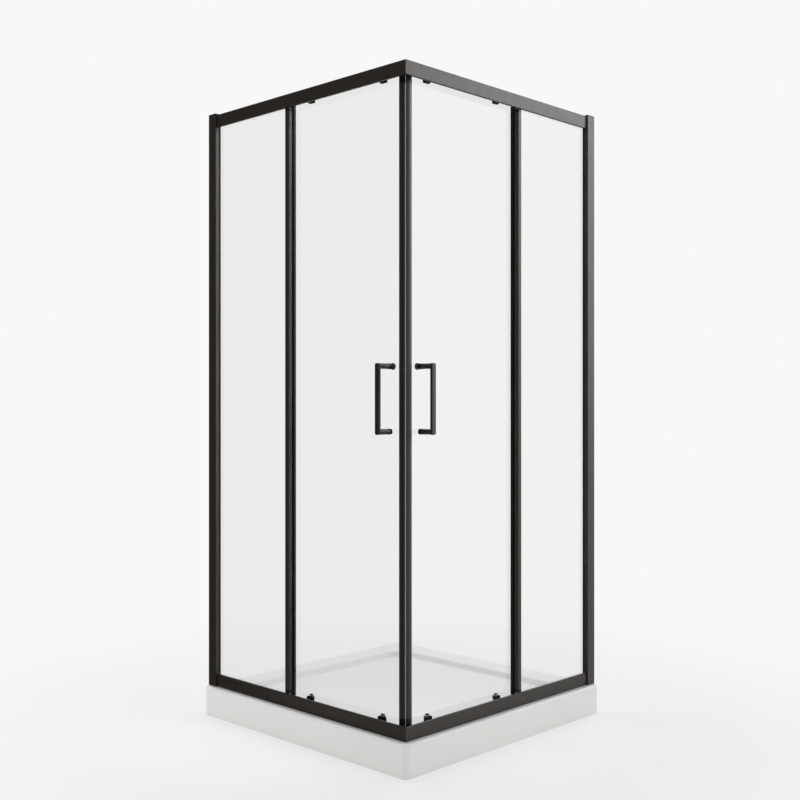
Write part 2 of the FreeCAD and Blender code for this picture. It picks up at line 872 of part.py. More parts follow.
def fixed_stile_outline(sketch):
    """A rounded stile with a slot in its wall side for the edge of the pane."""
    x0, x1 = fixed_stile_wall_x, fixed_stile_x
    outer = d.fixed_stile_setback
    slot_outer = fixed_glass_y - d.glass_fit
    slot_inner = fixed_glass_y + d.glass_thickness + d.glass_fit
    slot_end = x0 + d.fixed_stile_lap
    add_outline(sketch, [
        (x0, outer, d.fixed_stile_radius),
        (x1, outer, d.fixed_stile_radius),
        (x1, slot_inner + d.fixed_stile_wall),
        (x0, slot_inner + d.fixed_stile_wall),
        (x0, slot_inner),
        (slot_end, slot_inner),
        (slot_end, slot_outer),
        (x0, slot_outer),
    ])


def make_fixed_stile():
    low = d.rail_height + d.fixed_cap_height
    high = top_rail_z - d.fixed_cap_height
    pieces = []
    for label, z, length in (
        ("front_fixed_stile", low, high - low),
        ("fixed_cap_low", d.rail_height, d.fixed_cap_height),
        ("fixed_cap_high", high, d.fixed_cap_height),
    ):
        body = side_body(label, ZERO, ZERO, z)
        sketch = new_sketch(body, "XY_Plane")
        fixed_stile_outline(sketch)
        pad(body, sketch, length)
        pieces.append(body)
    keep_pair("fixed_stile", pieces[0])
    keep_both_sides("fixed_stile_caps", pieces[1:])
    brush = side_body("stile_brush", ZERO, ZERO, low)
    back = fixed_glass_y + d.glass_thickness + d.glass_fit + d.fixed_stile_wall
    middle = fixed_stile_x - d.fixed_stile_width / 2
    sketch = new_sketch(brush, "XY_Plane")
    tip = door_stile_outer_y - d.glass_fit
    add_box(sketch, middle - d.brush_width / 2, back, middle + d.brush_width / 2, tip)
    pad(brush, sketch, high - low)
    keep_both_sides("stile_brushes", [brush])


def make_buffers():
    """Rubber stops in the top tracks, which the doors' far wheels meet when the doors are open."""
    body = side_body("track_stop", d.buffer_place, ZERO, track_top_z)
    plan = new_sketch(body, "XY_Plane")
    gap = d.end_plug_gap
    add_box(plan, ZERO, rib_inner_y + gap, d.buffer_length, d.rail_depth - d.rail_wall - gap)
    pad(body, plan, d.buffer_height)
    keep_both_sides("door_buffers", [body])


# Sliding doors


def make_door_glass():
    start = trailing_x - d.trailing_stile_lap + d.glass_fit
    finish = column_glass_x + d.column_lap - d.glass_fit
    body = side_body("front_door_glass", ZERO, door_glass_y)
    sketch = new_sketch(body, "XZ_Plane")
    add_box(sketch, start, door_glass_bottom_z, finish, door_glass_top_z)
    for z in handle_heights():
        add_circle(sketch, handle_x, z, d.handle_hole_radius)
    for x in roller_xs:
        for z in (low_bolt_z, top_bolt_z):
            add_circle(sketch, x, z, d.bolt_hole_radius)
    pad(body, sketch, d.glass_thickness, back=True)
    keep_pair("door_glass", body)


def column_half(sketch, face):
    """Half of the round column that the leading stiles make. face is its distance from the mitre plane."""
    radius, depth = d.column_radius, d.column_depth
    chord = (radius * radius - face * face).root()
    front_x = column_x + (chord - face) / DIAGONAL
    front_y = depth - (chord + face) / DIAGONAL
    edge_y = depth - radius / DIAGONAL
    slot_outer = door_glass_y - d.glass_fit / 2
    slot_inner = door_back_y + d.glass_fit / 2
    slot_end = column_glass_x + d.column_lap
    back = door_stile_inner_y
    add_loop(
        sketch,
        [
            (front_x, front_y),
            (frame_side - back - face * DIAGONAL, back),
            (column_glass_x, back),
            (column_glass_x, slot_inner),
            (slot_end, slot_inner),
            (slot_end, slot_outer),
            (column_glass_x, slot_outer),
            (column_glass_x, edge_y),
        ],
        {7: (radius, 1)},
    )


def make_leading_stile():
    face = d.magnet_thickness + d.magnet_gap / 2
    low = door_stile_bottom_z + d.column_cap_height
    high = door_stile_top_z - d.column_cap_height
    pieces = []
    for label, z, length, offset in (
        ("front_leading_stile", low, high - low, face),
        ("front_column_cap_low", door_stile_bottom_z, d.column_cap_height, d.magnet_gap / 2),
        ("front_column_cap_high", high, d.column_cap_height, d.magnet_gap / 2),
    ):
        body = side_body(label, ZERO, ZERO, z)
        sketch = new_sketch(body, "XY_Plane")
        column_half(sketch, offset)
        pad(body, sketch, length)
        pieces.append(body)
    keep_pair("leading_stile", pieces[0])
    keep_group_pair("leading_stile_caps", pieces[1:])
    make_magnet(low, high - low)


def make_magnet(z, length):
    """The magnetic strip on the leading stile's mitre face, seen in plan as a slanted bar."""
    near = d.magnet_gap / 2
    far = near + d.magnet_thickness
    start = d.column_depth * DIAGONAL - d.column_radius + d.magnet_setback
    finish = start + d.magnet_width
    body = side_body("front_magnet_strip", ZERO, ZERO, z)
    sketch = new_sketch(body, "XY_Plane")
    points = []
    for inwards, aside in ((start, near), (start, far), (finish, far), (finish, near)):
        points.append((frame_side - (inwards + aside) / DIAGONAL, (inwards - aside) / DIAGONAL))
    add_loop(sketch, points)
    pad(body, sketch, length)
    keep_pair("magnet_strip", body)


def make_trailing_stile():
    body = side_body("front_trailing_stile", ZERO, ZERO, door_stile_bottom_z)
    sketch = new_sketch(body, "XY_Plane")
    slot_outer = door_glass_y - d.glass_fit / 2
    slot_inner = door_back_y + d.glass_fit / 2
    slot_end = trailing_x - d.trailing_stile_lap
    radius = d.trailing_stile_radius
    add_outline(sketch, [
        (trailing_back_x, door_stile_outer_y, radius),
        (trailing_x, door_stile_outer_y),
        (trailing_x, slot_outer),
        (slot_end, slot_outer),
        (slot_end, slot_inner),
        (trailing_x, slot_inner),
        (trailing_x, door_stile_inner_y),
        (trailing_back_x, door_stile_inner_y, radius),
    ])
    pad(body, sketch, door_stile_top_z - door_stile_bottom_z)
    keep_pair("trailing_stile", body)


def make_drip_seal():
    """A U-shaped strip on the door glass's lower edge, just clear of the bottom rail's lip."""
    wall = d.drip_seal_wall
    body = side_body("front_drip_seal", trailing_x, door_glass_y - wall)
    sketch = new_sketch(body, "YZ_Plane")
    low = d.lip_height + d.drip_seal_gap
    high = door_glass_bottom_z + d.drip_seal_lap
    pane = wall + d.glass_thickness
    add_outline(sketch, [
        (ZERO, low),
        (pane + wall, low),
        (pane + wall, high),
        (pane, high),
        (pane, door_glass_bottom_z),
        (wall, door_glass_bottom_z),
        (wall, high),
        (ZERO, high),
    ])
    pad(body, sketch, column_glass_x - trailing_x)
    keep_pair("drip_seal", body)


# Handles


def handle_heights():
    half = d.handle_pitch / 2
    return (d.handle_middle - half, d.handle_middle + half)


def make_handle():
    """A flat upright bar with rounded ends on two round legs, each drilled for its inner fixing's stud."""
    low, _ = handle_heights()
    leg = d.handle_reach - d.foot_thickness
    half_width = d.handle_width / 2
    half_depth = d.handle_depth / 2
    body = side_body("front_handle", handle_x, door_glass_y - d.handle_reach, low)
    bar = new_sketch(body, "XZ_Plane", -half_depth)
    add_box(bar, -half_width, -half_width, half_width, d.handle_pitch + half_width, d.handle_end_radius)
    pad(body, bar, d.handle_depth)
    round_edges(body, "Fillet", d.handle_edge, lambda edge: edge.BoundBox.YLength < d.bolt_gap.value)
    legs = new_sketch(body, "XZ_Plane", -leg)
    studs = new_sketch(body, "XZ_Plane", -leg)
    for z in (ZERO, d.handle_pitch):
        add_circle(legs, ZERO, z, d.handle_leg_radius)
        add_circle(studs, ZERO, z, d.handle_stud_radius + d.bolt_gap)
    pad(body, legs, leg - half_depth)
    cut(body, studs, d.handle_stud_depth)
    keep_pair("handle", body)


def make_handle_fixings():
    """Inside the glass, a flared pull knob above and a low cap below, each with a stud into a handle leg."""
    low, high = handle_heights()
    washer = d.washer_thickness
    foot = d.foot_thickness
    stud_end = -d.glass_thickness - washer - foot - d.handle_stud_depth + d.overrun / 2
    stud = d.handle_stud_radius
    face = door_back_y + washer
    knob = turned(
        "front_handle_knob", handle_x, face, high,
        [
            (ZERO, stud_end),
            (stud, stud_end),
            (stud, ZERO),
            (d.knob_neck_radius, ZERO),
            (d.knob_radius, d.knob_length - d.knob_rim),
            (d.knob_radius - d.knob_rim, d.knob_length),
            (ZERO, d.knob_length),
        ],
        {4: (d.knob_rim, 1)},
    )
    cap = turned(
        "front_handle_cap", handle_x, face, low,
        [
            (ZERO, stud_end),
            (stud, stud_end),
            (stud, ZERO),
            (d.cap_radius, ZERO),
            (d.cap_radius, d.cap_length - d.cap_edge),
            (d.cap_radius - d.cap_edge, d.cap_length),
            (ZERO, d.cap_length),
        ],
        {4: (d.cap_edge, 1)},
    )
    keep_group_pair("handle_fixings", [knob, cap])
    bushes = []
    bore = stud + d.bolt_gap
    sleeve = d.handle_hole_radius - d.glass_fit
    for i, z in enumerate((low, high), start=1):
        outer = turned(f"front_handle_bush_{i}", handle_x, door_glass_y, z, [
            (bore, -foot),
            (d.washer_radius, -foot),
            (d.washer_radius, ZERO),
            (sleeve, ZERO),
            (sleeve, d.glass_thickness),
            (bore, d.glass_thickness),
        ])
        inner = turned(f"front_handle_washer_{i}", handle_x, door_back_y, z, [
            (bore, ZERO),
            (d.washer_radius, ZERO),
            (d.washer_radius, washer),
            (bore, washer),
        ])
        bushes += [outer, inner]
    keep_group_pair("handle_bushes", bushes)


# Rollers


def make_clamps():
    """Outer clamp plates with their bolts, two at the top and two at the bottom of each door."""
    pieces = []
    for i, x in enumerate(roller_xs):
        for name, width, height, z, bolt_z, grip in (
            ("top", d.top_clamp_width, d.top_clamp_height, top_clamp_z, top_bolt_z, d.bracket_thickness),
            ("low", d.bottom_clamp_width, d.bottom_clamp_height, clamp_bottom_z, low_bolt_z, d.block_plate),
        ):
            pieces.append(make_clamp(f"front_{name}_clamp_{i}", x, z, width, height, bolt_z))
            pieces.append(make_bolt(f"front_{name}_bolt_{i}", x, bolt_z, door_back_y + grip))
    keep_group_pair("roller_clamps", pieces)


def make_clamp(label, x, z, width, height, bolt_z):
    body = side_body(label, x, door_glass_y, z)
    sketch = new_sketch(body, "XZ_Plane")
    add_box(sketch, -width / 2, ZERO, width / 2, height, d.clamp_corner_radius)
    add_circle(sketch, ZERO, bolt_z - z, d.bolt_radius + d.bolt_gap)
    pad(body, sketch, d.clamp_thickness)
    seat = new_sketch(body, "XZ_Plane", d.clamp_thickness)
    add_circle(seat, ZERO, bolt_z - z, d.bolt_head_radius + d.bolt_gap)
    cut(body, seat, d.bolt_head_height, back=True)
    face_y = -d.clamp_thickness.value

    def rims_face(edge):
        return abs(edge.BoundBox.YMax - face_y) < d.bolt_gap.value and not edge.isClosed()

    round_edges(body, "Chamfer", d.clamp_edge, rims_face)
    return body


def make_bolt(label, x, z, end_y):
    """A low-head bolt from the clamp's seat through the glass into the roller body behind it."""
    length = end_y - clamp_y
    return turned(label, x, clamp_y, z, [
        (ZERO, ZERO),
        (d.bolt_head_radius, ZERO),
        (d.bolt_head_radius, d.bolt_head_height),
        (d.bolt_radius, d.bolt_head_height),
        (d.bolt_radius, length),
        (ZERO, length),
    ])


def make_roller_bodies():
    pieces = []
    for i, x in enumerate(roller_xs):
        pieces.append(make_bracket(f"front_bracket_{i}", x))
        pieces.append(make_block(f"front_block_{i}", x))
    keep_group_pair("roller_bodies", pieces)


def make_bracket(label, x):
    """The plate behind the top of the glass, with the wheel's axle riveted in it."""
    body = side_body(label, x, door_back_y, top_clamp_z)
    sketch = new_sketch(body, "XZ_Plane")
    half = d.top_clamp_width / 2
    axle_z = top_axle_z - top_clamp_z
    crown = axle_z + d.bracket_crown
    add_box(sketch, -half, ZERO, half, crown, d.clamp_corner_radius)
    add_circle(sketch, ZERO, top_bolt_z - top_clamp_z, d.bolt_radius + d.bolt_gap)
    pad(body, sketch, d.bracket_thickness, back=True)
    axle = new_sketch(body, "XZ_Plane", -d.bracket_thickness)
    add_circle(axle, ZERO, axle_z, d.axle_radius)
    run = d.top_wheel_width + d.wheel_side_gap * 2
    pad(body, axle, run, back=True)
    head = new_sketch(body, "XZ_Plane", -(d.bracket_thickness + run))
    add_circle(head, ZERO, axle_z, d.axle_head_radius)
    pad(body, head, d.axle_head_length, back=True)
    return body


def make_block(label, x):
    """The block behind the bottom of the glass that guides a release carrier, beside its clamp's bolt."""
    body = side_body(label, x - d.release_offset, door_back_y, clamp_bottom_z)
    depth = stem_y - door_back_y + d.spring_bore_radius + d.block_back_wall
    side = d.block_width / 2
    end = d.release_offset + d.block_tongue
    plan = new_sketch(body, "XY_Plane")
    radius = d.clamp_corner_radius
    add_outline(plan, [
        (-side, ZERO),
        (end, ZERO),
        (end, d.block_plate),
        (side, d.block_plate),
        (side, depth, radius),
        (-side, depth, radius),
    ])
    pad(body, plan, d.block_height)
    stem = stem_y - door_back_y
    bore = new_sketch(body, "XY_Plane")
    add_circle(bore, ZERO, stem, d.stem_radius + d.arm_gap)
    cut(body, bore, d.block_height)
    spring = new_sketch(body, "XY_Plane", d.block_height)
    add_circle(spring, ZERO, stem, d.spring_bore_radius)
    cut(body, spring, d.spring_bore_depth, back=True)
    notch = new_sketch(body, "XY_Plane")
    half = d.arm_width / 2 + d.arm_gap
    thick = d.arm_thickness / 2 + d.arm_gap
    add_box(notch, -half, stem - thick, half, stem + thick)
    cut(body, notch, d.arm_notch)
    bolt = new_sketch(body, "XZ_Plane")
    add_circle(bolt, d.release_offset, d.block_bolt_height, d.bolt_radius + d.bolt_gap)
    cut(body, bolt, d.block_plate + d.overrun, back=True)
    return body


def wheel_points(radius, width, bore):
    """Half section of a grooved wheel: radius and place along the axle."""
    half, groove = width / 2, d.wheel_groove_width / 2
    floor, edge = radius - d.wheel_groove_depth, d.wheel_edge
    return [
        (bore, -half),
        (radius - edge, -half),
        (radius, edge - half),
        (radius, -groove),
        (floor, -groove),
        (floor, groove),
        (radius, groove),
        (radius, half - edge),
        (radius - edge, half),
        (bore, half),
    ]


def make_wheels():
    bore = d.axle_radius + d.wheel_bore_gap
    for name, x in zip(("near", "far"), roller_xs):
        for level, radius, width, wheel_x, z in (
            ("top", d.top_wheel_radius, d.top_wheel_width, x, top_axle_z),
            ("bottom", d.bottom_wheel_radius, d.bottom_wheel_width, x - d.release_offset, bottom_axle_z),
        ):
            wheel = f"{level}_wheel_{name}"
            points = wheel_points(radius, width, bore)
            keep_pair(wheel, turned(f"front_{wheel}", wheel_x, roller_y, z, points))


def make_release(name, x):
    """The carrier that a push on its button lowers, so that its wheel leaves the lip."""
    body = side_body(f"front_release_{name}", x - d.release_offset, arm_y, bottom_axle_z)
    half = d.arm_width / 2
    arm = new_sketch(body, "XZ_Plane")
    top = arm_top_z - bottom_axle_z
    foot = d.arm_corner_radius
    add_outline(arm, [(-half, -half, foot), (half, -half, foot), (half, top), (-half, top)])
    pad(body, arm, d.arm_thickness, back=True)
    axle = new_sketch(body, "XZ_Plane")
    add_circle(axle, ZERO, ZERO, d.axle_radius)
    run = d.bottom_wheel_width + d.wheel_side_gap * 2
    pad(body, axle, run)
    head = new_sketch(body, "XZ_Plane", run)
    add_circle(head, ZERO, ZERO, d.axle_head_radius)
    pad(body, head, d.axle_head_length)
    stem = new_sketch(body, "XY_Plane", top)
    add_circle(stem, ZERO, d.arm_thickness / 2, d.stem_radius)
    button_low = button_z - bottom_axle_z
    pad(body, stem, button_low - top)
    button = new_sketch(body, "XY_Plane", button_low)
    side = d.button_width / 2
    front = (d.arm_thickness - d.button_depth) / 2
    add_box(button, -side, front, side, front + d.button_depth, d.clamp_corner_radius / 2)
    pad(body, button, d.button_height)
    keep_pair(f"release_{name}", body)


def make_spring(name, x):
    """The sleeve of wire between a block's spring seat and the underside of a button."""
    seat_z = block_top_z - d.spring_bore_depth
    body = side_body(f"front_release_spring_{name}", x - d.release_offset, stem_y, seat_z)
    sketch = new_sketch(body, "XZ_Plane")
    inner = d.stem_radius + d.spring_gap
    add_box(sketch, inner, ZERO, inner + d.spring_wire, button_z - d.arm_gap - seat_z)
    turn_profile(body, sketch)
    keep_pair(f"release_spring_{name}", body)


make_tray()
make_feet()
make_waste()
make_top_rail()
make_bottom_rail()
keep("corner_brackets", group("corner_brackets", [
    make_corner_bracket("bottom_corner_bracket", ZERO),
    make_corner_bracket("top_corner_bracket", top_rail_z),
]))
make_frame_screws()
make_wall_profile()
make_jamb()
make_profile_caps()
make_fixed_glass()
make_gaskets()
make_fixed_stile()
make_buffers()
make_door_glass()
make_leading_stile()
make_trailing_stile()
make_drip_seal()
make_handle()
make_handle_fixings()
make_clamps()
make_roller_bodies()
make_wheels()
for release_name, release_x in zip(("near", "far"), roller_xs):
    make_release(release_name, release_x)
    make_spring(release_name, release_x)

doc.recompute()
for thing in doc.Objects:
    if {"Invalid", "Error"} & set(thing.State):
        raise RuntimeError(f"{thing.Label} failed: {thing.State}")
for label, thing in nodes.items():
    if thing.Shape.isNull() or not thing.Shape.isValid():
        raise RuntimeError(f"{label} has no valid shape")

os.makedirs("parts", exist_ok=True)
for label, thing in nodes.items():
    thing.Shape.exportStep(f"parts/{label}.step")
    print(f"{label}: {len(thing.Shape.Solids)} solids, {thing.Shape.Volume:.0f} mm3")
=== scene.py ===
import json
import math

import bmesh
import bpy
from mathutils import Matrix, Vector

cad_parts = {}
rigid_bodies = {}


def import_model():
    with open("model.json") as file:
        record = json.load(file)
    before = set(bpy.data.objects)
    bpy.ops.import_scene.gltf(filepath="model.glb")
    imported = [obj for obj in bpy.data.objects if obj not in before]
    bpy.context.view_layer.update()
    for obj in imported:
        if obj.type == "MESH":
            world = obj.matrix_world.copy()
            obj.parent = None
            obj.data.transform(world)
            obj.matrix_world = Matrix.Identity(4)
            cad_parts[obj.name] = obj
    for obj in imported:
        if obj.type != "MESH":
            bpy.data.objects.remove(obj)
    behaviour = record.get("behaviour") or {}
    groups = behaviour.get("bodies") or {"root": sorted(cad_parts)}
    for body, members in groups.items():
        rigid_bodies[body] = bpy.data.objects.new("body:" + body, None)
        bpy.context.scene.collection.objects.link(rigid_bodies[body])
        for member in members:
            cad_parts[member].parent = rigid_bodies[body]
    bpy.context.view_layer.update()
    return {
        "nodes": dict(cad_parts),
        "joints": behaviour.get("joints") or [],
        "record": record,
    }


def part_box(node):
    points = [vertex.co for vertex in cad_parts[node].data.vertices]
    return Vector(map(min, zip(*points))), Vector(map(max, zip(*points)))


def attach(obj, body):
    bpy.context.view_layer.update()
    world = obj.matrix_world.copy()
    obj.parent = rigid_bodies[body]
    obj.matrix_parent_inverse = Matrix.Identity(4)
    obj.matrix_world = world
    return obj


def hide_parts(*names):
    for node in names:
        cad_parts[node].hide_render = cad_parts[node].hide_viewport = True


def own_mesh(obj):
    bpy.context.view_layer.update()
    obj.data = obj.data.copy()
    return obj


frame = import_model()

CENTRE = (0.0, 0.0, 0.0)
UPWARDS = (0.0, 0.0, 1.0)

# The photograph's camera, level and at chest height beyond the entry corner
CAMERA_PLACE = (2.492, -2.574, 1.010)
CAMERA_TURN = math.radians(44.18)
CAMERA_LENS = 50.0
CAMERA_SENSOR = 36.0

# Studio: a pale floor that runs into a pale backdrop of the same tone
BACKDROP = (0.938, 0.938, 0.938, 1.0)
AMBIENT = (0.34, 0.34, 0.346, 1.0)
FLOOR_REACH = 9.0
FLOOR_TONE = (0.88, 0.88, 0.88, 1.0)

# Distances over which the floor turns into the backdrop, and the backdrop's share in it by the tray
SHADOW_REACH = (0.75, 1.9)
FLOOR_GLOW = 0.6

# Places that the lamps face
RAIL_MIDDLE = (0.43, 0.0, 1.7)
WALL_END = (0.43, 0.43, 1.2)
TRAY_MIDDLE = (0.0, 0.0, 0.1)

# Lamps for the gloss on the profiles: where each stands, its width and height, and its power
KEY_PLACE = (4.2, 6.3, 4.95)
KEY_SIZE = (4.0, 1.5)
KEY_POWER = 330.0
RIM_PLACE = (3.06, 5.82, 2.05)
RIM_SIZE = (1.45, 2.1)
RIM_POWER = 80.0

# Lamps for the shade on the tray, a pair of each kind, with their tint
FILL_PLACES = {"front": (-1.86, -6.96, 0.16), "side": (6.96, 1.86, 0.16)}
FILL_SIZE = (2.0, 0.25)
FILL_POWER = 150.0
FILL_TINT = (1.0, 0.98, 0.91)
TOP_PLACES = {"front": (-2.2, -0.35, 4.4), "side": (0.35, 2.2, 4.4)}
TOP_SIZE = (2.4, 2.4)
TOP_POWER = 78.0
TOP_TINT = (0.945, 0.974, 1.0)

# A grey card bent round behind the camera, for the gloss alone: radius and height of its foot and wall
CARD_PROFILE = ((0.68, 0.004), (4.0, 0.004), (4.0, 4.5))
CARD_START = math.radians(190.0)
CARD_SWEEP = math.radians(135.0)
CARD_STEPS = 24
CARD_TONE = (0.12, 0.118, 0.115, 1.0)

# Release springs: wire as a share of the coil's radius, turns, and how finely they are drawn
WIRE_SHARE = 0.15
COIL_TURNS = 4
STEPS_PER_TURN = 28
WIRE_SEGMENTS = 10

# The middle part of a noise pattern's values, over which tones and gloss drift
DRIFT_FROM = 0.3
DRIFT_TO = 0.7


class Finish:
    """A material with one Principled shader, and short calls for the patterns that feed it."""

    def __init__(self, name, **values):
        self.material = bpy.data.materials.new(name)
        self.material.use_nodes = True
        self.nodes = self.material.node_tree.nodes
        self.links = self.material.node_tree.links
        self.shader = self.nodes["Principled BSDF"]
        self.place = self.nodes.new("ShaderNodeTexCoord").outputs["Object"]
        for socket, value in values.items():
            self.shader.inputs[socket.replace("_", " ")].default_value = value

    def stretched(self, scale):
        """The piece's own coordinates, drawn out by a scale for each axis."""
        mapping = self.nodes.new("ShaderNodeMapping")
        mapping.inputs["Scale"].default_value = scale
        self.links.new(self.place, mapping.inputs["Vector"])
        return mapping.outputs["Vector"]

    def noise(self, scale, detail=3.0, place=None):
        """Cloudy variation, with about this many clouds to a metre."""
        texture = self.nodes.new("ShaderNodeTexNoise")
        texture.inputs["Scale"].default_value = scale
        texture.inputs["Detail"].default_value = detail
        self.links.new(place or self.place, texture.inputs["Vector"])
        return texture.outputs["Fac"]

    def colour(self, pattern, dark, light):
        """Base colour that drifts between two close tones."""
        ramp = self.nodes.new("ShaderNodeValToRGB")
        ramp.color_ramp.elements[0].position = DRIFT_FROM
        ramp.color_ramp.elements[0].color = (*dark, 1.0)
        ramp.color_ramp.elements[1].position = DRIFT_TO
        ramp.color_ramp.elements[1].color = (*light, 1.0)
        self.links.new(pattern, ramp.inputs["Fac"])
        self.links.new(ramp.outputs["Color"], self.shader.inputs["Base Color"])

    def roughness(self, pattern, low, high):
        """Gloss that drifts between two close levels."""
        spread = self.nodes.new("ShaderNodeMapRange")
        spread.inputs["From Min"].default_value = DRIFT_FROM
        spread.inputs["From Max"].default_value = DRIFT_TO
        spread.inputs["To Min"].default_value = low
        spread.inputs["To Max"].default_value = high
        self.links.new(pattern, spread.inputs["Value"])
        self.links.new(spread.outputs["Result"], self.shader.inputs["Roughness"])

    def bump(self, pattern, strength, height):
        """Surface grain of a given height in metres."""
        grain = self.nodes.new("ShaderNodeBump")
        grain.inputs["Strength"].default_value = strength
        grain.inputs["Distance"].default_value = height
        self.links.new(pattern, grain.inputs["Height"])
        self.links.new(grain.outputs["Normal"], self.shader.inputs["Normal"])

    def let_lamps_through(self):
        """Light from the lamps passes straight through, as it does through a clear pane."""
        path = self.nodes.new("ShaderNodeLightPath")
        clear = self.nodes.new("ShaderNodeBsdfTransparent")
        clear.inputs["Color"].default_value = self.shader.inputs["Base Color"].default_value
        mix = self.nodes.new("ShaderNodeMixShader")
        self.links.new(path.outputs["Is Shadow Ray"], mix.inputs["Fac"])
        self.links.new(self.shader.outputs["BSDF"], mix.inputs[1])
        self.links.new(clear.outputs["BSDF"], mix.inputs[2])
        self.links.new(mix.outputs["Shader"], self.nodes["Material Output"].inputs["Surface"])


def satin_coating():
    """Black powder coat on the aluminium profiles: fine orange peel and a slightly uneven gloss."""
    finish = Finish("satin_coating", Specular_IOR_Level=0.5)
    finish.colour(finish.noise(6.0), (0.0140, 0.0097, 0.0064), (0.0172, 0.0122, 0.0082))
    finish.roughness(finish.noise(35.0), 0.50, 0.54)
    finish.bump(finish.noise(1300.0), 0.08, 0.0002)
    return finish.material


def handle_coating():
    """The handles' coating, smoother than the profiles'."""
    finish = Finish("handle_coating", Specular_IOR_Level=0.5)
    finish.colour(finish.noise(20.0), (0.0115, 0.0095, 0.0075), (0.0140, 0.0116, 0.0093))
    finish.roughness(finish.noise(60.0), 0.46, 0.52)
    finish.bump(finish.noise(1600.0), 0.06, 0.0002)
    return finish.material


def clear_glass():
    """Toughened glass, faintly tinted, with the slow waves that the furnace rollers leave."""
    finish = Finish("clear_glass", Base_Color=(0.935, 0.934, 0.928, 1.0), Roughness=0.0, IOR=1.45)
    finish.shader.inputs["Transmission Weight"].default_value = 1.0
    finish.bump(finish.noise(4.0, detail=1.0), 0.02, 0.002)
    finish.let_lamps_through()
    return finish.material


def white_acrylic():
    """Cast acrylic of the tray: white, with a low sheen and a soft ripple."""
    finish = Finish("white_acrylic", Specular_IOR_Level=0.12)
    finish.colour(finish.noise(3.0), (0.785, 0.785, 0.783), (0.815, 0.815, 0.813))
    finish.roughness(finish.noise(14.0), 0.34, 0.42)
    finish.bump(finish.noise(45.0), 0.02, 0.0004)
    return finish.material


def moulded_black():
    """Black plastic of the clamps, caps, blocks and release arms, with a spark-eroded grain."""
    finish = Finish("moulded_black", Specular_IOR_Level=0.25)
    finish.colour(finish.noise(90.0), (0.0035, 0.0034, 0.0033), (0.0065, 0.0063, 0.0060))
    finish.roughness(finish.noise(150.0), 0.42, 0.55)
    finish.bump(finish.noise(2600.0, detail=4.0), 0.12, 0.0002)
    return finish.material


def magnet_rubber():
    """Smooth strip over the door magnets, drawn lengthways."""
    finish = Finish("magnet_rubber", Specular_IOR_Level=0.5)
    lengthways = finish.stretched((1.0, 1.0, 0.04))
    finish.colour(finish.noise(300.0, place=lengthways), (0.045, 0.047, 0.056), (0.062, 0.064, 0.075))
    finish.roughness(finish.noise(120.0, place=lengthways), 0.25, 0.35)
    finish.bump(finish.noise(900.0, place=lengthways), 0.08, 0.0002)
    return finish.material


def seal_rubber():
    """Matt black rubber of gaskets and buffers, and pile of the brushes, with upright fibres."""
    finish = Finish("seal_rubber", Specular_IOR_Level=0.3)
    upright = finish.stretched((1.0, 1.0, 0.15))
    finish.colour(finish.noise(500.0, place=upright), (0.008, 0.008, 0.008), (0.020, 0.020, 0.020))
    finish.roughness(finish.noise(250.0), 0.65, 0.85)
    finish.bump(finish.noise(1800.0, place=upright), 0.25, 0.0003)
    return finish.material


def seal_vinyl():
    """Clear soft vinyl of the drip seals, a little milky."""
    finish = Finish("seal_vinyl", Base_Color=(0.86, 0.87, 0.86, 1.0), IOR=1.4)
    finish.shader.inputs["Transmission Weight"].default_value = 0.8
    finish.roughness(finish.noise(80.0), 0.24, 0.32)
    finish.bump(finish.noise(40.0, detail=1.0), 0.05, 0.0002)
    return finish.material


def wheel_nylon():
    """Cream nylon of the running wheels, dulled where it has rolled."""
    finish = Finish("wheel_nylon", Specular_IOR_Level=0.45)
    finish.colour(finish.noise(160.0), (0.66, 0.65, 0.61), (0.76, 0.75, 0.72))
    finish.roughness(finish.noise(220.0), 0.38, 0.55)
    finish.bump(finish.noise(1200.0), 0.08, 0.0002)
    return finish.material


def plain_steel(name, light, dark, low, high):
    """A plain or plated metal with fine turning marks."""
    finish = Finish(name, Metallic=1.0)
    finish.colour(finish.noise(120.0), dark, light)
    finish.roughness(finish.noise(260.0), low, high)
    finish.bump(finish.noise(1500.0), 0.06, 0.0001)
    return finish.material


def feet_plastic():
    """Grey moulded feet under the tray."""
    finish = Finish("feet_plastic", Specular_IOR_Level=0.4)
    finish.colour(finish.noise(70.0), (0.20, 0.20, 0.20), (0.26, 0.26, 0.26))
    finish.roughness(finish.noise(110.0), 0.5, 0.65)
    finish.bump(finish.noise(1500.0), 0.12, 0.0003)
    return finish.material


# The finish of each material slot in the record
FINISHES = {
    "frame_black": satin_coating(),
    "handle_black": handle_coating(),
    "clear_glass": clear_glass(),
    "tray_white": white_acrylic(),
    "black_plastic": moulded_black(),
    "magnet_black": magnet_rubber(),
    "seal_black": seal_rubber(),
    "seal_clear": seal_vinyl(),
    "wheel_nylon": wheel_nylon(),
    "screw_steel": plain_steel("screw_steel", (0.58, 0.58, 0.59), (0.50, 0.50, 0.51), 0.28, 0.40),
    "bracket_grey": plain_steel("bracket_grey", (0.52, 0.52, 0.52), (0.44, 0.44, 0.44), 0.45, 0.6),
    "waste_chrome": plain_steel("waste_chrome", (0.80, 0.80, 0.82), (0.78, 0.78, 0.80), 0.08, 0.10),
    "feet_grey": feet_plastic(),
}


def dress_nodes():
    """Every CAD node takes the finish of its material slot."""
    for row in frame["record"]["subparts"]:
        mesh = frame["nodes"][row["node"]].data
        mesh.materials.clear()
        mesh.materials.append(FINISHES[row["material_slot"]])


def new_piece(name, shape, material):
    """A finished bmesh as an object at the origin."""
    mesh = bpy.data.meshes.new(name)
    shape.to_mesh(mesh)
    shape.free()
    mesh.materials.append(material)
    piece = bpy.data.objects.new(name, mesh)
    bpy.context.scene.collection.objects.link(piece)
    return piece


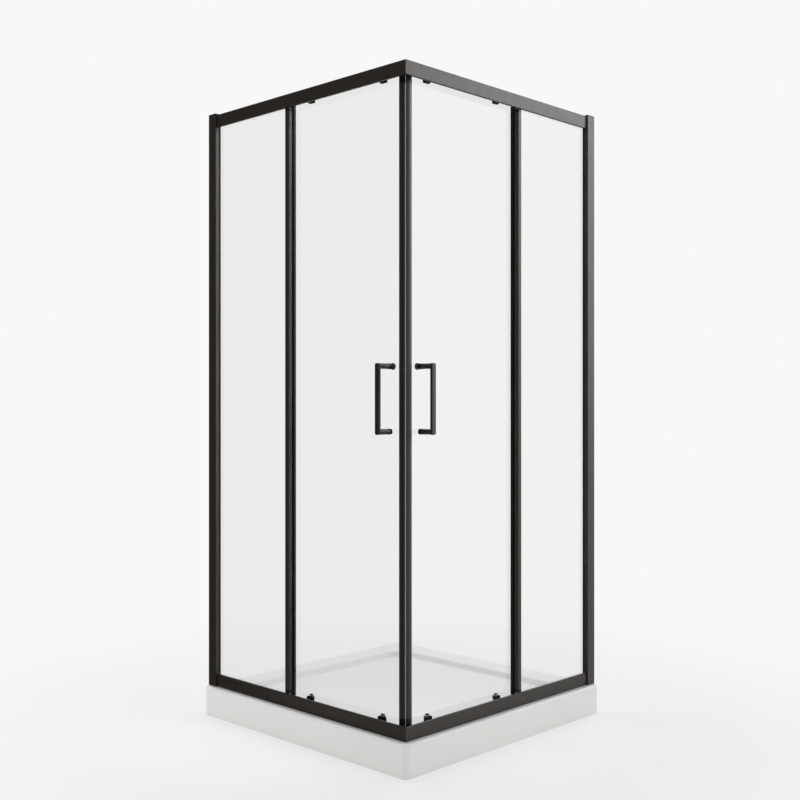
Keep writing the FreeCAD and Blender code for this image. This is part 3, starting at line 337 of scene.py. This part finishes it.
def make_coil(name, low, high):
    """A wire wound upwards inside the box of a spring's solid."""
    middle = (low + high) / 2
    outer = (high.x - low.x) / 2
    wire = outer * WIRE_SHARE
    steps = COIL_TURNS * STEPS_PER_TURN
    rise = high.z - low.z - wire * 2
    shape = bmesh.new()
    ring = bmesh.ops.create_circle(shape, cap_ends=False, segments=WIRE_SEGMENTS, radius=wire)["verts"]
    upright = Matrix.Rotation(math.pi / 2, 4, "X")
    start = Matrix.Translation((middle.x + outer - wire, middle.y, low.z + wire))
    bmesh.ops.transform(shape, matrix=start @ upright, verts=ring)
    bmesh.ops.spin(
        shape,
        geom=shape.edges[:],
        cent=middle,
        axis=UPWARDS,
        dvec=(0.0, 0.0, rise / steps),
        angle=math.tau * COIL_TURNS,
        steps=steps,
    )
    bmesh.ops.holes_fill(shape, edges=shape.edges[:], sides=WIRE_SEGMENTS)
    bmesh.ops.recalc_face_normals(shape, faces=shape.faces[:])
    # The wire's two cut ends stay flat
    for face in shape.faces:
        face.smooth = len(face.verts) < WIRE_SEGMENTS
    return new_piece(name, shape, FINISHES["screw_steel"])


def make_release_springs():
    """Coils in place of the plain spring sleeves."""
    for joint in frame["joints"]:
        for row in joint.get("deforming_nodes", []):
            node = row["node"]
            low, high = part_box(node)
            coil = make_coil(node.replace("spring", "coil"), low, high)
            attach(coil, joint["parent"])
            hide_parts(node)
            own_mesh(coil)


def seen_rays(nodes, links):
    """1 for rays that show the studio itself: from the camera, in a gloss or through glass."""
    path = nodes.new("ShaderNodeLightPath")
    total = path.outputs["Is Camera Ray"]
    for kind in ("Is Glossy Ray", "Is Transmission Ray"):
        add = nodes.new("ShaderNodeMath")
        add.operation = "ADD"
        add.use_clamp = True
        links.new(total, add.inputs[0])
        links.new(path.outputs[kind], add.inputs[1])
        total = add.outputs[0]
    return total


def make_backdrop():
    """A pale surround to look at, and a plain even light for the object."""
    world = bpy.data.worlds.new("studio")
    bpy.context.scene.world = world
    world.use_nodes = True
    nodes = world.node_tree.nodes
    links = world.node_tree.links
    light = nodes["Background"]
    light.inputs["Color"].default_value = AMBIENT
    seen = nodes.new("ShaderNodeBackground")
    seen.inputs["Color"].default_value = BACKDROP
    mix = nodes.new("ShaderNodeMixShader")
    links.new(seen_rays(nodes, links), mix.inputs["Fac"])
    links.new(light.outputs["Background"], mix.inputs[1])
    links.new(seen.outputs["Background"], mix.inputs[2])
    links.new(mix.outputs["Shader"], nodes["World Output"].inputs["Surface"])


def floor_finish():
    """A pale floor that holds the soft shadow by the tray and runs into the backdrop further out."""
    finish = Finish("studio_floor", Base_Color=FLOOR_TONE, Roughness=0.9, Specular_IOR_Level=0.0)
    nodes = finish.nodes
    links = finish.links
    reach = nodes.new("ShaderNodeVectorMath")
    reach.operation = "LENGTH"
    links.new(finish.place, reach.inputs[0])
    fade = nodes.new("ShaderNodeMapRange")
    fade.interpolation_type = "SMOOTHSTEP"
    fade.inputs["From Min"].default_value = SHADOW_REACH[0]
    fade.inputs["From Max"].default_value = SHADOW_REACH[1]
    fade.inputs["To Min"].default_value = FLOOR_GLOW
    links.new(reach.outputs["Value"], fade.inputs["Value"])
    share = nodes.new("ShaderNodeMath")
    share.operation = "MULTIPLY"
    links.new(fade.outputs["Result"], share.inputs[0])
    links.new(seen_rays(nodes, links), share.inputs[1])
    backdrop = nodes.new("ShaderNodeEmission")
    backdrop.inputs["Color"].default_value = BACKDROP
    mix = nodes.new("ShaderNodeMixShader")
    links.new(share.outputs[0], mix.inputs["Fac"])
    links.new(finish.shader.outputs["BSDF"], mix.inputs[1])
    links.new(backdrop.outputs["Emission"], mix.inputs[2])
    links.new(mix.outputs["Shader"], nodes["Material Output"].inputs["Surface"])
    return finish.material


def make_floor():
    """The studio floor, level with the foot of the tray."""
    shape = bmesh.new()
    bmesh.ops.create_grid(shape, x_segments=1, y_segments=1, size=FLOOR_REACH)
    new_piece("floor", shape, floor_finish())


def make_card():
    """The card that the front side and the entry corner mirror, which keeps their gloss dark."""
    shape = bmesh.new()
    corners = [shape.verts.new((radius, 0.0, height)) for radius, height in CARD_PROFILE]
    for pair in zip(corners, corners[1:]):
        shape.edges.new(pair)
    turn = Matrix.Rotation(CARD_START, 3, "Z")
    bmesh.ops.rotate(shape, cent=CENTRE, matrix=turn, verts=corners)
    bmesh.ops.spin(
        shape,
        geom=shape.verts[:] + shape.edges[:],
        cent=CENTRE,
        axis=UPWARDS,
        angle=CARD_SWEEP,
        steps=CARD_STEPS,
    )
    finish = Finish("grey_card")
    tone = finish.nodes.new("ShaderNodeEmission")
    tone.inputs["Color"].default_value = CARD_TONE
    finish.links.new(tone.outputs["Emission"], finish.nodes["Material Output"].inputs["Surface"])
    card = new_piece("grey_card", shape, finish.material)
    card.visible_camera = False
    card.visible_diffuse = False
    card.visible_transmission = False
    card.visible_shadow = False


def make_softbox(name, place, facing, size, power, tint=None):
    """A rectangular studio lamp. A tinted one lights the shade, the others show in the gloss alone."""
    data = bpy.data.lights.new(name, "AREA")
    if tint:
        data.color = tint
    data.shape = "RECTANGLE"
    data.size = size[0]
    data.size_y = size[1]
    data.energy = power
    lamp = bpy.data.objects.new(name, data)
    lamp.location = place
    lamp.rotation_euler = (Vector(facing) - Vector(place)).to_track_quat("-Z", "Y").to_euler()
    lamp.visible_camera = False
    lamp.visible_transmission = False
    lamp.visible_glossy = tint is None
    lamp.visible_diffuse = tint is not None
    bpy.context.scene.collection.objects.link(lamp)


def make_camera():
    """The photograph's view."""
    data = bpy.data.cameras.new("camera")
    data.lens = CAMERA_LENS
    data.sensor_width = CAMERA_SENSOR
    camera = bpy.data.objects.new("camera", data)
    camera.location = CAMERA_PLACE
    camera.rotation_euler = (math.pi / 2, 0.0, CAMERA_TURN)
    bpy.context.scene.collection.objects.link(camera)
    bpy.context.scene.camera = camera


dress_nodes()
make_release_springs()
make_backdrop()
make_floor()
make_card()
make_softbox("key_softbox", KEY_PLACE, RAIL_MIDDLE, KEY_SIZE, KEY_POWER)
make_softbox("rim_softbox", RIM_PLACE, WALL_END, RIM_SIZE, RIM_POWER)
for side, place in FILL_PLACES.items():
    make_softbox(f"{side}_fill_softbox", place, TRAY_MIDDLE, FILL_SIZE, FILL_POWER, FILL_TINT)
for side, place in TOP_PLACES.items():
    make_softbox(f"{side}_top_softbox", place, TRAY_MIDDLE, TOP_SIZE, TOP_POWER, TOP_TINT)
make_camera()
bpy.context.scene.view_settings.view_transform = "Standard"
